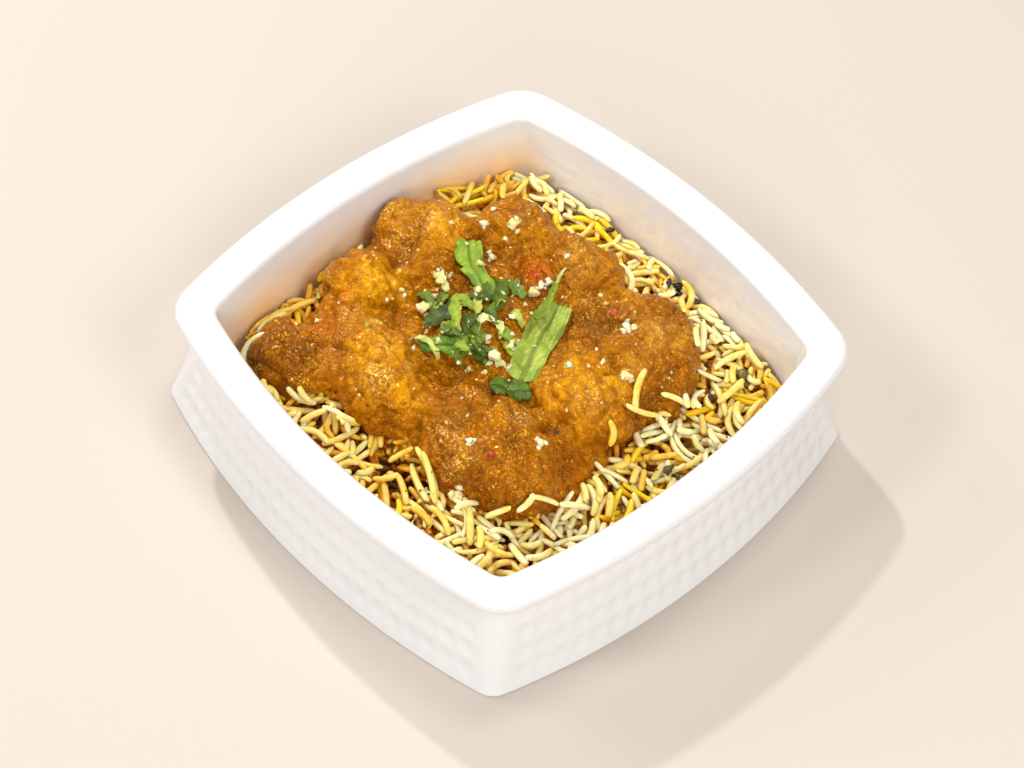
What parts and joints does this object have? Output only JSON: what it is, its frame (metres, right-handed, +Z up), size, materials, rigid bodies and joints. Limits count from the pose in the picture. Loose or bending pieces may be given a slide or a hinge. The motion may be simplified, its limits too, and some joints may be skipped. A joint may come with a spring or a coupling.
{
  "type": "biryani in a square dish",
  "caption": "Square white porcelain dish with bowed sides, filled with seasoned rice, a heap of meat chunks in gravy and chopped coriander on top.",
  "frame": {"origin": "middle of the dish's footprint, on the surface that it stands on", "axes": "+Z up; X and Y at right angles to the dish's sides, which face +X, -X, +Y and -Y"},
  "size_m": [0.1648, 0.1648, 0.0405],
  "materials": {
    "porcelain": "glossy white glaze",
    "rice": "moist cooked grains, white to yellow",
    "gravy": "oily, grainy orange-brown gravy",
    "meat": "meat coated with oily gravy",
    "coriander_leaf": "fresh green leaf with a soft sheen",
    "coriander_chopped": "chopped dark green leaf"
  },
  "bodies": {
    "root": {"dish": "porcelain", "rice": "rice", "gravy": "gravy", "meat_01": "meat", "meat_02": "meat", "meat_03": "meat", "meat_04": "meat", "meat_05": "meat", "meat_06": "meat", "meat_07": "meat", "meat_08": "meat", "meat_09": "meat", "meat_10": "meat", "meat_11": "meat", "coriander_leaf_1": "coriander_leaf", "coriander_leaf_2": "coriander_leaf", "coriander_leaf_3": "coriander_leaf", "coriander_leaf_4": "coriander_leaf", "coriander_chopped": "coriander_chopped"}
  },
  "joints": []
}
